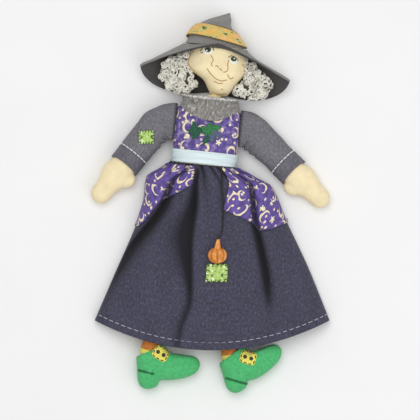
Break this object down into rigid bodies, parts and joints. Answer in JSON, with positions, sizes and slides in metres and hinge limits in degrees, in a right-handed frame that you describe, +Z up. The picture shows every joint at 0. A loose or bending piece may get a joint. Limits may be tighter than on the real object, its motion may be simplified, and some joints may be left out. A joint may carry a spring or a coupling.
{
  "type": "cloth witch doll",
  "caption": "Stuffed cloth witch doll with a brimmed hat, curled hair, knit cowl, moon print bodice, denim skirt and felt boots, jointed at neck, shoulders, waist and legs.",
  "frame": {"origin": "on the table under the middle of the doll's outline, as it lies on its back", "axes": "+X towards the doll's left, +Y towards its hat, +Z up out of its front"},
  "size_m": [0.1784, 0.2844, 0.0366],
  "materials": {
    "muslin": "plain woven muslin",
    "polyester_fill": "loose fibre",
    "printed_cotton": "plain woven cotton, moon and star print",
    "grey_denim": "soft twill",
    "navy_denim": "twill denim with white topstitching",
    "grey_chambray": "plain woven chambray, dark lining",
    "gold_ribbon": "woven ribbon",
    "satin_ribbon": "satin",
    "grey_knit": "rib knit",
    "white_yarn": "curled yarn",
    "green_felt": "felt",
    "leaf_felt": "felt",
    "lime_cotton": "plain woven cotton",
    "striped_stocking": "plain woven cotton, striped",
    "yellow_felt": "felt",
    "black_cord": "waxed cotton cord",
    "pumpkin_resin": "painted resin"
  },
  "bodies": {
    "torso": {"torso": "muslin", "torso_stuffing": "polyester_fill", "bodice": "printed_cotton", "sash": "satin_ribbon", "knit_cowl": "grey_knit", "leaf_sprig": "leaf_felt"},
    "neck": {"neck": "muslin"},
    "head": {"head": "muslin", "head_stuffing": "polyester_fill", "hair_right": "white_yarn", "hair_left": "white_yarn", "hat_crown": "grey_chambray", "hat_band": "gold_ribbon", "hat_brim": "grey_chambray"},
    "right_arm": {"right_arm": "muslin", "right_arm_stuffing": "polyester_fill", "right_sleeve": "grey_denim", "sleeve_patch": "lime_cotton"},
    "left_arm": {"left_arm": "muslin", "left_arm_stuffing": "polyester_fill", "left_sleeve": "grey_denim"},
    "hips": {"hips": "muslin", "skirt": "navy_denim", "right_hip_panel": "printed_cotton", "left_hip_panel": "printed_cotton", "skirt_patch": "lime_cotton"},
    "right_leg": {"right_leg": "striped_stocking", "right_leg_stuffing": "polyester_fill", "right_boot": "green_felt", "right_buckle": "yellow_felt"},
    "left_leg": {"left_leg": "striped_stocking", "left_leg_stuffing": "polyester_fill", "left_boot": "green_felt", "left_buckle": "yellow_felt"},
    "charm": {"charm_cord": "black_cord", "pumpkin_charm": "pumpkin_resin"}
  },
  "joints": [
    {"name": "neck_tilt", "type": "hinge", "parent": "torso", "child": "neck", "pos_m": [0.00095, 0.07543, 0.0157], "axis": [0, 0, 1], "range_deg": [-10, 6]},
    {"name": "head_nod", "type": "hinge", "parent": "neck", "child": "head", "pos_m": [0.00403, 0.0927, 0.0166], "axis": [0.9945, -0.1045, 0], "range_deg": [-6, 8]},
    {"name": "right_shoulder", "type": "hinge", "parent": "torso", "child": "right_arm", "pos_m": [-0.03051, 0.06164, 0.0157], "axis": [0.1045, 0.9945, 0], "range_deg": [-45, 60]},
    {"name": "left_shoulder", "type": "hinge", "parent": "torso", "child": "left_arm", "pos_m": [0.02638, 0.05567, 0.0157], "axis": [-0.1045, -0.9945, 0], "range_deg": [-45, 60]},
    {"name": "waist_bend", "type": "hinge", "parent": "torso", "child": "hips", "pos_m": [-0.00525, 0.02832, 0.0286], "axis": [-0.9945, 0.1045, 0], "range_deg": [0, 60]},
    {"name": "right_leg_swing", "type": "hinge", "parent": "hips", "child": "right_leg", "pos_m": [-0.01315, -0.00608, 0.0093], "axis": [0, 0, 1], "range_deg": [-6, 3]},
    {"name": "left_leg_swing", "type": "hinge", "parent": "hips", "child": "left_leg", "pos_m": [0.00415, -0.00608, 0.0093], "axis": [0, 0, 1], "range_deg": [-2, 5]},
    {"name": "charm_swing", "type": "hinge", "parent": "hips", "child": "charm", "pos_m": [0.00835, 0.02672, 0.0276], "axis": [-1, 0, 0], "range_deg": [0, 60]}
  ]
}
